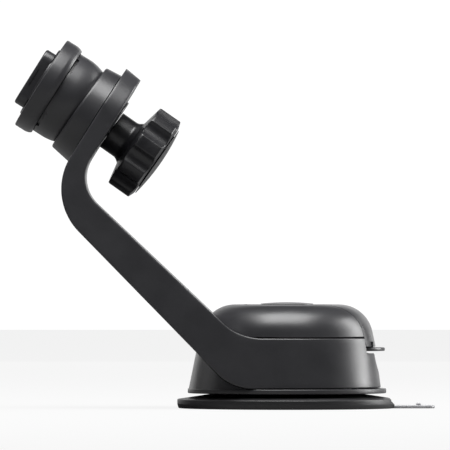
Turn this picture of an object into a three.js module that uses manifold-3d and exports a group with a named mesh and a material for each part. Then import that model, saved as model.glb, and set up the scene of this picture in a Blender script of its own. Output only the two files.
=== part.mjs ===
// A suction-base phone holder arm: lever-locked suction cup, angled arm, clamped ball head.
// Millimetres, +Z up. The origin is the centre of the suction face, +X points to the lever tab.
import * as THREE from 'three';
import { mergeVertices } from 'three/addons/utils/BufferGeometryUtils.js';
import Module from 'manifold-3d';

const wasm = await Module();
wasm.setup();

// ---- Driving sizes ---------------------------------------------------------------------------
const GAP = 0.3;              // clearance between pieces that meet
const RUN = 0.1;              // radial running clearance of pins and studs
const BIG = 40;               // facets round the base
const MID = 28;               // facets round the ball and the knob
const SMALL = 12;             // facets round pins and screws

const BAND_R = 36.6;          // arm foot radius at its lower edge
const BAND_Z0 = 8.0;          // arm foot, lower edge
const BAND_Z1 = 27.46;        // arm foot, upper edge
const BAND_SLOPE = 0.125;     // how much the foot and the arm's sides narrow per mm of height
const SKIRT_Z0 = 5.85;        // flange underside
const SKIRT_R = BAND_R + 2.1;
const CUP_R = BAND_R + 6.2;
const CUP_RIM_H = 3.55;
const STROKE = 3.0;           // how far the lever pulls the cup's centre up
const PAD_T = 1.2;            // gel layer
const PAD_R = CUP_R - 4.8;
const TAB_END_X = CUP_R + 14.8;

const DOME_FLAT_R = BAND_R - 16.2;
const DOME_CORNER_R = 13.2;
const DOME_Z = 40.4;
const DOME_T = 2.0;
const LEVER_HALF_W = 15.6;
const LEVER_CORNER_R = 8.0;   // corners of the lever's pin end
const END_CLEAR = 1.3;        // room that the pin end needs as it swings up
const LEVER_T = 2.2;
const LEVER_SKIRT_Z = 24.0;
const BADGE_R = 10.3;
const DECK_Z0 = 20.6;
const DECK_T = 2.0;
const CAM_PLATE_T = 1.0;
const CAM_LOCKED = 7.0;       // cam radius with the lever down
const OPEN_DEG = 75;
const PIN_R = 1.5;
const STEM_R = 3.0;

const BALL = new THREE.Vector3(-86.18, 0, 120.92);
const HEAD_DEG = 32.07;       // head axis above the horizontal
const CLAMP_DEG = 35.1;       // knob and stud axis above the horizontal
const PLATE_SET = 3.55;       // how far the ball reaches past the plate's front
const PLATE_T = 7.0;
const PLATE_TOP = 22.2;
const BALL_R = 17.55;
const SHELL_T = 1.35;
const LAYER_T = 0.95;
const SLEEVE_T = 1.57;
const NECK_STEP = 3.05;       // how much smaller the lug's neck is than the ball
const LUG_WALL = 7.3;
const HEAD_SCREW_SET = 3.1;   // from the neck's outside to the screws
const SLEEVE_TRAVEL = 2.0;
const LUG_HALF = 12.1;
const STUD_R = 3.0;
const KNOB_R = 18.0;
const KNOB_LOBES = 9;
const INSERT_Z0 = 2.67;       // insert pocket's floor, above the boss
const BOSS_RISE = 0.33;       // boss above the plate, along the clamp axis
const RING_DEPTH = 7.84;
const RING_SCREW_SET = 1.6;   // from the ball's surface to the screws' axes
const RING_SHANK_R = 1.3;
const SCREW_SKIN = 0.35;      // wall between the ball's seat and a screw's end
const STUD_SEAT_SET = 4.3;
const BOSS_R = 12.5;

// ---- Derived sizes ---------------------------------------------------------------------------
const DECK_Z1 = DECK_Z0 + DECK_T;
const CAM_TOP = DECK_Z1 + GAP + CAM_PLATE_T;
const PIN_Z = CAM_TOP + CAM_LOCKED;
const HOLLOW_R = BAND_R - 7.1;
const STRAP_UNDER = DOME_Z - LEVER_T;
const END_SWEEP = Math.hypot(LEVER_HALF_W, DOME_Z - PIN_Z) + GAP;
const SHELL_IN = BALL_R - SHELL_T;
const INSERT_OUT = SHELL_IN - GAP;
const INSERT_IN = INSERT_OUT - LAYER_T;
const CUP_OUT = INSERT_IN - GAP;
const CUP_IN = CUP_OUT - LAYER_T;
const WASHER_OUT = CUP_IN - GAP;
const SEAT_R = BALL_R + GAP;
const PLATE_FRONT = BALL_R - PLATE_SET;   // from the ball's centre, along the head axis
const BOSS_FACE = PLATE_FRONT + PLATE_T + BOSS_RISE;
const RING_SCREW_R = BALL_R - RING_SCREW_SET;
const RING_SCREW_Z0 = Math.sqrt((SEAT_R + SCREW_SKIN) ** 2 - (RING_SCREW_R - RING_SHANK_R) ** 2);
const RING_SCREW_Z1 = PLATE_FRONT + PLATE_T - 0.4;
const STUD_SEAT = WASHER_OUT - STUD_SEAT_SET;
const SLEEVE_IN = BALL_R + GAP;
const SLEEVE_R = SLEEVE_IN + SLEEVE_T;
const NECK_R = BALL_R - NECK_STEP;
const HEAD_SCREW_R = NECK_R - HEAD_SCREW_SET;

// ---- Frames ----------------------------------------------------------------------------------
const rad = THREE.MathUtils.degToRad;

function axisFrame(degrees) {
  const a = rad(degrees);
  const rear = new THREE.Vector3(Math.cos(a), 0, -Math.sin(a));
  const up = new THREE.Vector3(Math.sin(a), 0, Math.cos(a));
  return new THREE.Matrix4().makeBasis(up, new THREE.Vector3(0, -1, 0), rear).setPosition(BALL);
}

const WORLD = new THREE.Matrix4();
const HEAD = axisFrame(HEAD_DEG);
const CLAMP = axisFrame(CLAMP_DEG);
const KNOB = CLAMP.clone().multiply(new THREE.Matrix4().makeTranslation(0, 0, BOSS_FACE));
const PLANE_XZ = new THREE.Matrix4().makeBasis(
  new THREE.Vector3(1, 0, 0), new THREE.Vector3(0, 0, 1), new THREE.Vector3(0, -1, 0));
const PLANE_YZ = new THREE.Matrix4().makeBasis(
  new THREE.Vector3(0, 1, 0), new THREE.Vector3(0, 0, 1), new THREE.Vector3(1, 0, 0));
const PIN_AXIS = new THREE.Matrix4().makeRotationX(Math.PI / 2).setPosition(0, 0, PIN_Z);

// A point of the head frame's XZ plane: s to the rear, t upwards.
function headPoint(s, t) {
  const p = new THREE.Vector3(t, 0, s).applyMatrix4(HEAD);
  return [p.x, p.z];
}

function at(x, y, z) {
  return new THREE.Matrix4().makeTranslation(x, y, z);
}

// ---- Solids ----------------------------------------------------------------------------------
function solid(geometry, frame = WORLD) {
  let g = geometry.clone();
  g.deleteAttribute('normal');
  g.deleteAttribute('uv');
  g = mergeVertices(g, 1e-4);
  g.applyMatrix4(frame);
  const p = g.attributes.position;
  const kept = [];
  let volume = 0;
  const a = new THREE.Vector3();
  const b = new THREE.Vector3();
  const c = new THREE.Vector3();
  for (let i = 0; i < g.index.count; i += 3) {
    const [u, v, w] = [g.index.getX(i), g.index.getX(i + 1), g.index.getX(i + 2)];
    if (u !== v && v !== w && w !== u) {
      kept.push(u, v, w);
      a.fromBufferAttribute(p, u);
      b.fromBufferAttribute(p, v);
      c.fromBufferAttribute(p, w);
      volume += a.dot(b.clone().cross(c));
    }
  }
  if (volume < 0) {
    kept.reverse();
  }
  return new wasm.Manifold(new wasm.Mesh({
    numProp: 3,
    vertProperties: new Float32Array(p.array),
    triVerts: new Uint32Array(kept),
  }));
}

// A profile of [radius, height] points turned round the frame's Z axis; it is closed for the caller.
function turned(profile, facets, frame = WORLD) {
  const points = profile.map(([r, z]) => new THREE.Vector2(r, z));
  const first = profile[0];
  const last = profile[profile.length - 1];
  if (first[0] > 1e-6 || last[0] > 1e-6) {
    points.push(points[0].clone());
  }
  const g = new THREE.LatheGeometry(points, facets);
  g.rotateX(Math.PI / 2);
  return solid(g, frame);
}

function rod(radius, z0, z1, facets, frame = WORLD) {
  return turned([[0, z0], [radius, z0], [radius, z1], [0, z1]], facets, frame);
}

function ring(inner, outer, z0, z1, facets, frame = WORLD) {
  return turned([[inner, z0], [outer, z0], [outer, z1], [inner, z1]], facets, frame);
}

function ball(radius, x, y, z, facets) {
  const g = new THREE.SphereGeometry(radius, facets, facets / 2);
  return solid(g, at(x, y, z));
}

// An outline extruded along the frame's Z axis from d0 to d1.
function prism(points, d0, d1, frame = WORLD) {
  const shape = new THREE.Shape(points.map(([x, y]) => new THREE.Vector2(x, y)));
  const g = new THREE.ExtrudeGeometry(shape, { depth: d1 - d0, bevelEnabled: false });
  g.translate(0, 0, d0);
  return solid(g, frame);
}

function box(x0, x1, y0, y1, z0, z1, frame = WORLD) {
  return prism([[x0, y0], [x1, y0], [x1, y1], [x0, y1]], z0, z1, frame);
}

function arc(cx, cy, r, from, to, steps) {
  const points = [];
  for (let i = 0; i <= steps; i += 1) {
    const a = rad(from + (to - from) * i / steps);
    points.push([cx + r * Math.cos(a), cy + r * Math.sin(a)]);
  }
  return points;
}

// A polygon whose corners carry a fillet radius: [x, y, r].
function filleted(corners) {
  const out = [];
  const n = corners.length;
  corners.forEach(([x, y, r], i) => {
    const here = new THREE.Vector2(x, y);
    const before = new THREE.Vector2(...corners[(i + n - 1) % n].slice(0, 2)).sub(here).normalize();
    const after = new THREE.Vector2(...corners[(i + 1) % n].slice(0, 2)).sub(here).normalize();
    if (!r) {
      out.push([x, y]);
      return;
    }
    const half = Math.acos(THREE.MathUtils.clamp(before.dot(after), -1, 1)) / 2;
    const reach = r / Math.tan(half);
    const mid = before.clone().add(after).normalize().multiplyScalar(r / Math.sin(half)).add(here);
    const start = before.clone().multiplyScalar(reach).add(here);
    const end = after.clone().multiplyScalar(reach).add(here);
    const a0 = Math.atan2(start.y - mid.y, start.x - mid.x);
    let turn = Math.atan2(end.y - mid.y, end.x - mid.x) - a0;
    turn = Math.atan2(Math.sin(turn), Math.cos(turn));
    const steps = Math.max(2, Math.ceil(Math.abs(turn) / rad(10)));
    for (let k = 0; k <= steps; k += 1) {
      const a = a0 + turn * k / steps;
      out.push([mid.x + r * Math.cos(a), mid.y + r * Math.sin(a)]);
    }
  });
  return out;
}

function roundedSquare(half, r) {
  return filleted([[-half, -half, r], [half, -half, r], [half, half, r], [-half, half, r]]);
}

function hexagon(r) {
  return arc(0, 0, r, 0, 300, 5);
}

function union(parts) {
  return parts.reduce((sum, part) => sum.add(part));
}

function coil(meanR, wire, z0, z1, turns, frame = WORLD) {
  const points = [];
  const n = turns * 12;
  const rise = z1 - z0 - 2 * wire;
  for (let i = 0; i <= n; i += 1) {
    const a = 2 * Math.PI * i / 12;
    const z = z0 + wire + rise * i / n;
    points.push(new THREE.Vector3(meanR * Math.cos(a), meanR * Math.sin(a), z));
  }
  const path = new THREE.CatmullRomCurve3(points);
  const section = new THREE.Shape(arc(0, 0, wire, 0, 300, 5).map(([x, y]) => new THREE.Vector2(x, y)));
  const g = new THREE.ExtrudeGeometry(section, { steps: n, bevelEnabled: false, extrudePath: path });
  return solid(g, frame);
}

// A screw with its head at the top (z1), driven towards z0.
function screw(headR, headH, shankR, z0, z1, frame) {
  const body = turned([[0, z0], [shankR, z0], [shankR, z1 - headH], [headR, z1 - headH],
    [headR, z1], [0, z1]], 10, frame);
  return body.subtract(prism(hexagon(headR * 0.5), z1 - headH * 0.6, z1 + 1, frame));
}

function screwHole(headR, headH, shankR, z0, z1, frame) {
  return turned([[0, z0 - GAP], [shankR + RUN, z0 - GAP], [shankR + RUN, z1 - headH - GAP],
    [headR + GAP, z1 - headH - GAP], [headR + GAP, z1 + 5], [0, z1 + 5]], 10, frame);
}

// ---- Base and arm ----------------------------------------------------------------------------
const domeCorner = [DOME_FLAT_R, DOME_Z - DOME_CORNER_R];

// The dome's half section from the axis to its lower edge, inset by t.
function domeEdge(t, zEnd) {
  const points = [[0, DOME_Z - t], ...arc(...domeCorner, DOME_CORNER_R - t, 90, 12.5, 5)];
  const [r1, z1] = points[points.length - 1];
  points.push([r1 + 0.216 * (z1 - zEnd), zEnd]);
  return points;
}

function domeShell(t, zEnd) {
  return turned([...domeEdge(0, zEnd), ...domeEdge(t, zEnd).reverse()], BIG);
}

const footLeft = [-BAND_R + 15.1, BAND_Z0];
const footRight = [-BAND_R + 17.75, BAND_Z1];
const armOutline = filleted([
  [60, BAND_Z0, 0],
  [...footLeft, 19.5],
  [...headPoint(PLATE_FRONT, -37.0), 23.7],
  [...headPoint(PLATE_FRONT, PLATE_TOP), 0.8],
  [...headPoint(PLATE_FRONT + PLATE_T, PLATE_TOP - 1), 0.8],
  [...headPoint(PLATE_FRONT + PLATE_T, -26.2), 14.0],
  [...footRight, 25.0],
  [60, BAND_Z1, 0],
]);

function halfWidthAt(z) {
  return BAND_R - BAND_SLOPE * (z - BAND_Z0);
}

function between(a, b, k) {
  return [a[0] + (b[0] - a[0]) * k, a[1] + (b[1] - a[1]) * k];
}

// The frame on the arm's sloping upper face: Z out of the face, X up along the arm.
const upperLow = footRight;
const upperHigh = headPoint(PLATE_FRONT + PLATE_T, -26.2);
const upperRun = new THREE.Vector3(upperHigh[0] - upperLow[0], 0, upperHigh[1] - upperLow[1]);
const UPPER_LENGTH = upperRun.length();
upperRun.normalize();
const upperOut = new THREE.Vector3(upperRun.z, 0, -upperRun.x);
const UPPER = new THREE.Matrix4()
  .makeBasis(upperRun, new THREE.Vector3().crossVectors(upperOut, upperRun), upperOut)
  .setPosition(upperLow[0], 0, upperLow[1]);
const COVER_FROM = UPPER_LENGTH * 0.31;
const COVER_TO = UPPER_LENGTH * 0.80;
const COVER_HALF = 17.0;
const COVER_T = 2.2;
const COVER_SCREWS = [COVER_FROM + 3.6, COVER_TO - 3.6];

const SKIRT_SCREW_R = BAND_R - 3.6;
const SKIRT_SCREWS = [38, 142, 218, 322].map((d) => [
  SKIRT_SCREW_R * Math.cos(rad(d)), SKIRT_SCREW_R * Math.sin(rad(d))]);
const RING_SCREWS = [0, 125, 235].map((d) => {
  const a = rad(d);
  return HEAD.clone().multiply(at(RING_SCREW_R * Math.cos(a), RING_SCREW_R * Math.sin(a), 0));
});
const HEAD_SCREWS = [45, 135, 225, 315].map((d) => {
  const a = rad(d);
  return HEAD.clone().multiply(at(HEAD_SCREW_R * Math.cos(a), HEAD_SCREW_R * Math.sin(a), 0))
    .multiply(new THREE.Matrix4().makeRotationX(Math.PI));
});

function skirtScrewFrame([x, y]) {
  return at(x, y, 0).multiply(new THREE.Matrix4().makeRotationX(Math.PI));
}

function baseSkirt() {
  const plate = ring(14.2, SKIRT_R, SKIRT_Z0, BAND_Z0 - GAP, BIG);
  const lipTop = BAND_Z0 + 2.4;
  const lip = ring(HOLLOW_R - 2.2, HOLLOW_R - GAP, BAND_Z0 - 1, lipTop, BIG);
  const topZ = 24;
  const nose = turned([[HOLLOW_R + 1.8, SKIRT_Z0], [SKIRT_R, SKIRT_Z0],
    [SKIRT_R - 0.203 * (topZ - SKIRT_Z0), topZ], [HOLLOW_R + 1.8, topZ]], BIG);
  const side = box(-60, -BAND_R + 23.3, -60, 60, 0, 60);
  const arm = prism(armOutline, -60, 60, PLANE_XZ);
  const shaped = nose.intersect(side)
    .subtract(arm)
    .subtract(arm.translate([-0.22, 0, -0.22]))
    .subtract(arm.translate([0, 0, -GAP]));
  const holes = SKIRT_SCREWS.map((p) => screwHole(2.3, 1.2, 1.2, -14, -6.05, skirtScrewFrame(p)));
  return plate.add(lip).add(shaped).subtract(union(holes));
}

function armShell() {
  const cone = turned([[0, BAND_Z0 - 1], [BAND_R + 0.125, BAND_Z0 - 1],
    [halfWidthAt(BAND_Z1 + 1), BAND_Z1 + 1], [0, BAND_Z1 + 1]], BIG);
  const low = halfWidthAt(0);
  const high = halfWidthAt(160);
  const sides = prism([[-low, 0], [low, 0], [high, 160], [-high, 160]], -160, 0, PLANE_YZ);
  let arm = prism(armOutline, -60, 60, PLANE_XZ).intersect(cone.add(sides));
  // The plate's upper end is half an ellipse.
  const halfAcross = halfWidthAt(headPoint(PLATE_FRONT + PLATE_T / 2, 0)[1]) + 0.05;
  const ellipse = arc(0, 0, 1, 0, 350, 35).map(([x, y]) => [x * (PLATE_TOP + 0.2), y * halfAcross]);
  const above = box(0, 60, -60, 60, -5, 60, HEAD).subtract(prism(ellipse, -6, 61, HEAD));
  arm = arm.subtract(above);
  // Boss for the knob, ball recess and stud hole.
  const boss = rod(BOSS_R, PLATE_FRONT + PLATE_T - 2, BOSS_FACE, MID, CLAMP);
  arm = arm.add(boss)
    .subtract(ball(SEAT_R + 0.1, BALL.x, BALL.y, BALL.z, MID))
    .subtract(rod(STUD_R + GAP, 10, 40, SMALL, CLAMP));
  // Room for the dome, the lever gear and the cup's core.
  const domeRoom = turned([...domeEdge(-GAP, BAND_Z1 - 0.1), [0, BAND_Z1 - 0.1]], BIG);
  const upper = rod(HOLLOW_R + 1.5, DECK_Z1, BAND_Z1 + 1, BIG);
  const lower = rod(HOLLOW_R, BAND_Z0 - 2, DECK_Z0, BIG);
  arm = arm.subtract(domeRoom).subtract(upper).subtract(lower);
  const endRoom = box(-END_SWEEP - 1, -6.3, -LEVER_HALF_W - 1, LEVER_HALF_W + 1, 8, BAND_Z1);
  const notch = box(HOLLOW_R - 4, 60, -LEVER_HALF_W - 2 * GAP, LEVER_HALF_W + 2 * GAP, 21.3, 40);
  const scoop = ball(11.9, BAND_R + 5.4, 0, 24, MID);
  const stemHole = rod(STEM_R + GAP, 10, 30, SMALL);
  arm = arm.subtract(union([endRoom, notch, scoop, stemHole]));
  // Pocket under the back cover.
  const recess = box(COVER_FROM - GAP, COVER_TO + GAP, -COVER_HALF - GAP, COVER_HALF + GAP,
    -COVER_T - 2 * GAP, 20, UPPER);
  const pocket = box(COVER_FROM + 7, COVER_TO - 7, -COVER_HALF + 3, COVER_HALF - 3, -8.6, 20, UPPER);
  arm = arm.subtract(recess).subtract(pocket);
  const holes = [
    ...COVER_SCREWS.map((x) => screwHole(2.2, 1.2, 1.2, -8.5, -GAP, coverFrame(x))),
    ...SKIRT_SCREWS.map((p) => screwHole(2.3, 1.2, 1.2, -14, -6.05, skirtScrewFrame(p))),
    ...RING_SCREWS.map((f) => screwHole(2.4, 1.6, RING_SHANK_R, RING_SCREW_Z0, RING_SCREW_Z1, f)),
  ];
  return arm.subtract(union(holes));
}

function coverFrame(x) {
  return UPPER.clone().multiply(at(x, 0, 0));
}

function armBackCover() {
  const plate = box(COVER_FROM, COVER_TO, -COVER_HALF, COVER_HALF, -COVER_T - GAP, -0.05, UPPER);
  return plate.subtract(union(COVER_SCREWS.map((x) => screwHole(2.2, 1.2, 1.2, -8.5, -GAP, coverFrame(x)))));
}

// The lever's outline from above, grown for the slot that it lies in.
function leverPlan(grow, endGrow) {
  const half = LEVER_HALF_W + grow;
  const end = -LEVER_HALF_W - endGrow;
  return filleted([[end, -half, LEVER_CORNER_R], [60, -half, 0], [60, half, 0],
    [end, half, LEVER_CORNER_R]]);
}

function domeCover() {
  return domeShell(DOME_T, BAND_Z1 + GAP).subtract(prism(leverPlan(GAP, END_CLEAR), 20, 60));
}

function camPlate() {
  const plate = box(-6.0, 9.0, -10, 10, DECK_Z1 + GAP, CAM_TOP);
  return plate.subtract(rod(STEM_R + GAP, 10, 30, SMALL));
}

function suctionCup() {
  const domeR = 12;
  const footR = 28;
  const under = PAD_T + GAP;
  const body = turned([
    [0, STROKE + under], [domeR, STROKE + under], [footR, under], [PAD_R + GAP, under],
    [PAD_R + GAP, 0], [CUP_R - 0.6, 0], [CUP_R, 0.5], [CUP_R, CUP_RIM_H - 0.2], [CUP_R - 0.3, CUP_RIM_H],
    [CUP_R - 12.8, SKIRT_Z0 - GAP], [13.2, SKIRT_Z0 - GAP], [13.2, 8.6], [11.3, 8.6], [11.3, 5.9], [0, 5.9],
  ], BIG);
  const scoop = prism([[-8.2, 1.2], [8.2, 1.2], [18.2, 4], [18.2, 9], [-18.2, 9], [-18.2, 4]],
    CUP_R - 3.5, CUP_R + 9, PLANE_YZ);
  const channel = box(CUP_R - 8, CUP_R + 9, -8.3, 8.3, -1, under);
  return body.subtract(scoop).subtract(channel);
}

function gelPad() {
  const disc = turned([[0, STROKE], [12, STROKE], [28, 0], [PAD_R, 0], [PAD_R, PAD_T],
    [28, PAD_T], [12, STROKE + PAD_T], [0, STROKE + PAD_T]], BIG);
  const plan = filleted([[PAD_R - 6, -8, 0], [TAB_END_X, -8, 4], [TAB_END_X, 8, 4], [PAD_R - 6, 8, 0]]);
  const tab = prism(plan, 0, 1.15);
  const rib = box(TAB_END_X - 7.2, TAB_END_X - 5.4, -6.5, 6.5, 1, 2.0);
  return disc.add(tab).add(rib);
}

// ---- Stem and lever --------------------------------------------------------------------------
function coreDisc() {
  return ring(STEM_R + RUN, 11.0, 6.2, 8.2, MID);
}

function cupStem() {
  const shank = turned([[0, 6.2], [STEM_R, 6.2], [STEM_R, 8.5], [5.6, 8.5], [5.6, 9.5], [STEM_R, 9.5],
    [STEM_R, PIN_Z - 3.4], [0, PIN_Z - 3.4]], SMALL);
  const eye = prism(filleted([[-3.2, -3.8, 0.6], [3.2, -3.8, 0.6], [3.2, 3.6, 3.0], [-3.2, 3.6, 3.0]]),
    -4.7, 4.7, at(0, 0, PIN_Z).multiply(PLANE_XZ));
  return shank.add(eye).subtract(rod(PIN_R + RUN, -20, 20, SMALL, PIN_AXIS));
}

function leverPin() {
  return turned([[0, -9.6], [PIN_R, -9.6], [PIN_R, 8.3], [2.5, 8.3], [2.5, 9.4], [0, 9.4]], SMALL, PIN_AXIS);
}

function pinClip() {
  return ring(PIN_R + RUN, 2.8, -9.1, -8.3, SMALL, PIN_AXIS);
}

function stemSpring() {
  return coil(4.5, 0.6, 9.8, DECK_Z0 - GAP, 5);
}

// Each cheek's lower edge keeps the flat plate at a radius that falls steadily as the lever opens.
function cheekOutline() {
  const rate = STROKE / rad(OPEN_DEG);
  const points = [];
  const steps = 12;
  for (let i = 0; i <= steps; i += 1) {
    const open = rad(OPEN_DEG + 4) * i / steps;
    const psi = -Math.PI / 2 - open;
    const h = CAM_LOCKED - 0.12 - rate * open;
    points.push([h * Math.cos(psi) - rate * Math.sin(psi), h * Math.sin(psi) + rate * Math.cos(psi)]);
  }
  const top = STRAP_UNDER + 0.8 - PIN_Z;
  return [[8.0, top], [8.0, -2.5], [5.8, -6.0], ...points, [-3.7, 0.8], [-3.9, top]];
}

function lever() {
  const shell = domeShell(LEVER_T, LEVER_SKIRT_Z);
  const plan = prism(leverPlan(0, 0), 20, 50);
  const tabR = 14.2;
  const rim = BAND_R + 1.6;
  const tab = rod(tabR, 22.3, 23.7, MID, at(rim - tabR, 0, 0))
    .intersect(box(rim - 7.5, 60, -20, 20, 20, 30));
  const web = box(rim - 7.5, rim - 4.6, -10.6, 10.6, 22.4, 26);
  const frame = at(0, 0, PIN_Z).multiply(PLANE_XZ);
  const cheeks = [prism(cheekOutline(), 5.0, 8.0, frame), prism(cheekOutline(), -8.0, -5.0, frame)];
  const ribs = [box(7, DOME_FLAT_R + 1.5, 5.9, 7.1, STRAP_UNDER - 5, STRAP_UNDER + 0.5),
    box(7, DOME_FLAT_R + 1.5, -7.1, -5.9, STRAP_UNDER - 5, STRAP_UNDER + 0.5)];
  return union([shell.intersect(plan), tab, web, ...cheeks, ...ribs])
    .subtract(rod(BADGE_R + GAP, DOME_Z - 0.8, 60, MID))
    .subtract(rod(PIN_R + RUN, -20, 20, SMALL, PIN_AXIS));
}

function leverBadge() {
  const floor = DOME_Z - 0.8 + GAP;
  const crown = arc(0, DOME_Z + 0.9 - 90, 90, 90, 90 - 6.2, 3);
  return turned([[0, floor], [BADGE_R, floor], [BADGE_R, DOME_Z + 0.3], ...crown.reverse()], MID);
}

// ---- Ball clamp ------------------------------------------------------------------------------
// A layer of the ball joint: from the inner to the outer radius, between two polar angles.
function ballLayer(inner, outer, from, to, frame) {
  const steps = 4;
  const a = arc(0, 0, outer, 90 - from, 90 - to, steps);
  const b = arc(0, 0, inner, 90 - to, 90 - from, steps);
  return turned([...a, ...b], MID, frame);
}

function socketRing() {
  const z0 = PLATE_FRONT - RING_DEPTH;
  const body = turned([[8, z0], [BALL_R + 0.45, z0], [BALL_R + 0.9, z0 + 0.24], [BALL_R + 1.15, z0 + 0.79],
    [BALL_R + 2.05, PLATE_FRONT - 0.2], [BALL_R + 2.25, PLATE_FRONT + 2], [8, PLATE_FRONT + 2]], MID, CLAMP);
  const behind = box(-60, 60, -60, 60, PLATE_FRONT - GAP, 60, HEAD);
  const holes = RING_SCREWS.map((f) => screwHole(2.4, 1.6, RING_SHANK_R, RING_SCREW_Z0, RING_SCREW_Z1, f));
  return body.subtract(ball(SEAT_R, BALL.x, BALL.y, BALL.z, MID)).subtract(behind)
    .subtract(union(holes));
}

function clampStud() {
  const head = prism(hexagon(5.77), STUD_SEAT - 3.7, STUD_SEAT, CLAMP);
  const end = BOSS_FACE + 14.37;
  const shank = turned([[0, STUD_SEAT - 1.1], [STUD_R, STUD_SEAT - 1.1], [STUD_R, end - 0.5],
    [STUD_R - 0.5, end], [0, end]], SMALL, CLAMP);
  return head.add(shank);
}

function pressureWasher() {
  const seat = STUD_SEAT + GAP;
  const wide = Math.acos(seat / WASHER_OUT) * 180 / Math.PI;
  const narrow = Math.asin((STUD_R + GAP) / WASHER_OUT) * 180 / Math.PI;
  const crown = arc(0, 0, WASHER_OUT, 90 - wide, 90 - narrow, 4);
  return turned([[STUD_R + GAP, seat], ...crown], MID, CLAMP);
}

function headShell() {
  const steps = 6;
  const tail = 37;
  const outer = arc(0, 0, BALL_R, 90 - tail, 0, steps);
  const inner = arc(0, 0, SHELL_IN, 0, 90 - tail, steps);
  const shell = turned([...outer, [BALL_R - 0.05, -4.3], [4.5, -4.3], [4.5, -2.5], [SHELL_IN, -2.5],
    ...inner], MID, HEAD);
  const slots = [45, 135, 225, 315].map((d) => {
    const plan = [...arc(0, 0, BALL_R + 2, d - 14.5, d + 14.5, 4),
      ...arc(0, 0, BALL_R - 0.8, d + 14.5, d - 14.5, 4)];
    return prism(plan, -4.1, -3.1, HEAD);
  });
  const holes = HEAD_SCREWS.map((f) => screwHole(2.3, 1.4, 1.3, 2.0, 16.0, f));
  return shell.subtract(union(slots)).subtract(union(holes));
}

function lugHead() {
  const block = prism(roundedSquare(LUG_HALF, 4.2), -16.2, -11.5 - GAP, HEAD);
  const edge = turned([[0, -16.2], [LUG_HALF * 1.24, -16.2], [LUG_HALF * 1.30, -15.4],
    [LUG_HALF * 1.30, -9], [0, -9]], MID, HEAD);
  const neck = rod(NECK_R, -12.2, -4.3 - GAP, MID, HEAD);
  let lug = block.intersect(edge).add(neck);
  const slots = [-1, 1].map((side) => box(-3.7, 3.7, side * LUG_HALF - 0.9, side * LUG_HALF + 0.9,
    -14.8, -14.4, HEAD));
  const holes = HEAD_SCREWS.map((f) => screwHole(2.3, 1.4, 1.3, 2.0, 16.0, f));
  lug = lug.subtract(rod(NECK_R - LUG_WALL, -20, 0, MID, HEAD));
  return lug.subtract(union([...slots, ...holes]));
}

function lockSleeve() {
  const lipIn = NECK_R + GAP;
  return turned([[lipIn, -11.5], [SLEEVE_R - 0.5, -11.5], [SLEEVE_R, -11.0], [SLEEVE_R, -6.8],
    [SLEEVE_R - 0.25, -5.5], [SLEEVE_R - 0.8, -4.3], [SLEEVE_IN, -4.3], [SLEEVE_IN, -9.6], [lipIn, -9.6]],
  BIG, HEAD);
}

function sleeveSpring() {
  return coil(NECK_R + 1.5, 0.6, -9.3, -4.6, 2, HEAD);
}

// ---- Knob: heights are from the boss face ----------------------------------------------------
function knobWasher() {
  return ring(STUD_R + GAP, 6.5, GAP, 1.3, SMALL, KNOB);
}

function knobGrip() {
  const profile = [[0, 0.32], [8.0, 0.32], [8.0, 7.27], [8.25, 8.37], [9.0, 9.27],
    [KNOB_R - 0.25, 11.07], [KNOB_R, 11.37], [KNOB_R, 20.67], [KNOB_R - 0.4, 20.97],
    [15.0, 21.67], [0, 21.67]];
  const cutR = 4.97;
  let grip = turned(profile, 54, KNOB);
  const cuts = [];
  for (let i = 0; i < KNOB_LOBES; i += 1) {
    const a = 2 * Math.PI * (i + 0.5) / KNOB_LOBES;
    const away = KNOB_R - 2 + cutR;
    const f = KNOB.clone().multiply(at(away * Math.cos(a), away * Math.sin(a), 0));
    cuts.push(rod(cutR, 9.67, 28.67, 20, f));
  }
  grip = grip.subtract(union(cuts));
  return grip
    .subtract(rod(6.8, -11.33, 1.3 + GAP, SMALL, KNOB))
    .subtract(rod(STUD_R + GAP, -11.33, 8.67, SMALL, KNOB))
    .subtract(prism(hexagon(6.3 + GAP), INSERT_Z0, 28.67, KNOB))
    .subtract(rod(12.2, 16.67, 28.67, MID, KNOB));
}

function knobInsert() {
  // The flats of the faceted bore stay clear of the stud's edges as the knob turns.
  const bore = (STUD_R + RUN) / Math.cos(Math.PI / SMALL);
  return prism(hexagon(6.2), INSERT_Z0 + GAP, 15.17, KNOB).subtract(rod(bore, -11.33, 28.67, SMALL, KNOB));
}

function knobCap() {
  const dome = arc(0, 23.52 - 82, 82, 90, 90 - 10.2, 3);
  const edge = [[14.5, 21.97], [14.8, 22.22]];
  return turned([[0, 19.27], [11.9, 19.27], [11.9, 21.97], ...edge, ...dome.reverse()], MID, KNOB);
}

// ---- Assembly --------------------------------------------------------------------------------
const COLORS = {
  plastic: 0x2d2d2f, gloss: 0x19191b, rubber: 0x161618, gel: 0xa8a8ab,
  steel: 0x9a9ca0, brass: 0xb08d4a,
};

function mesh(name, manifold, color) {
  const data = manifold.asOriginal().simplify(0.004).getMesh();
  const geometry = new THREE.BufferGeometry();
  geometry.setAttribute('position', new THREE.BufferAttribute(data.vertProperties, 3));
  geometry.setIndex(new THREE.BufferAttribute(data.triVerts, 1));
  geometry.computeVertexNormals();
  const result = new THREE.Mesh(geometry, new THREE.MeshStandardMaterial({ color }));
  result.name = name;
  return result;
}

const part = new THREE.Group();
part.name = 'suction_arm_mount';

function addPart(name, manifold, color) {
  part.add(mesh(name, manifold, color));
}

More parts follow.
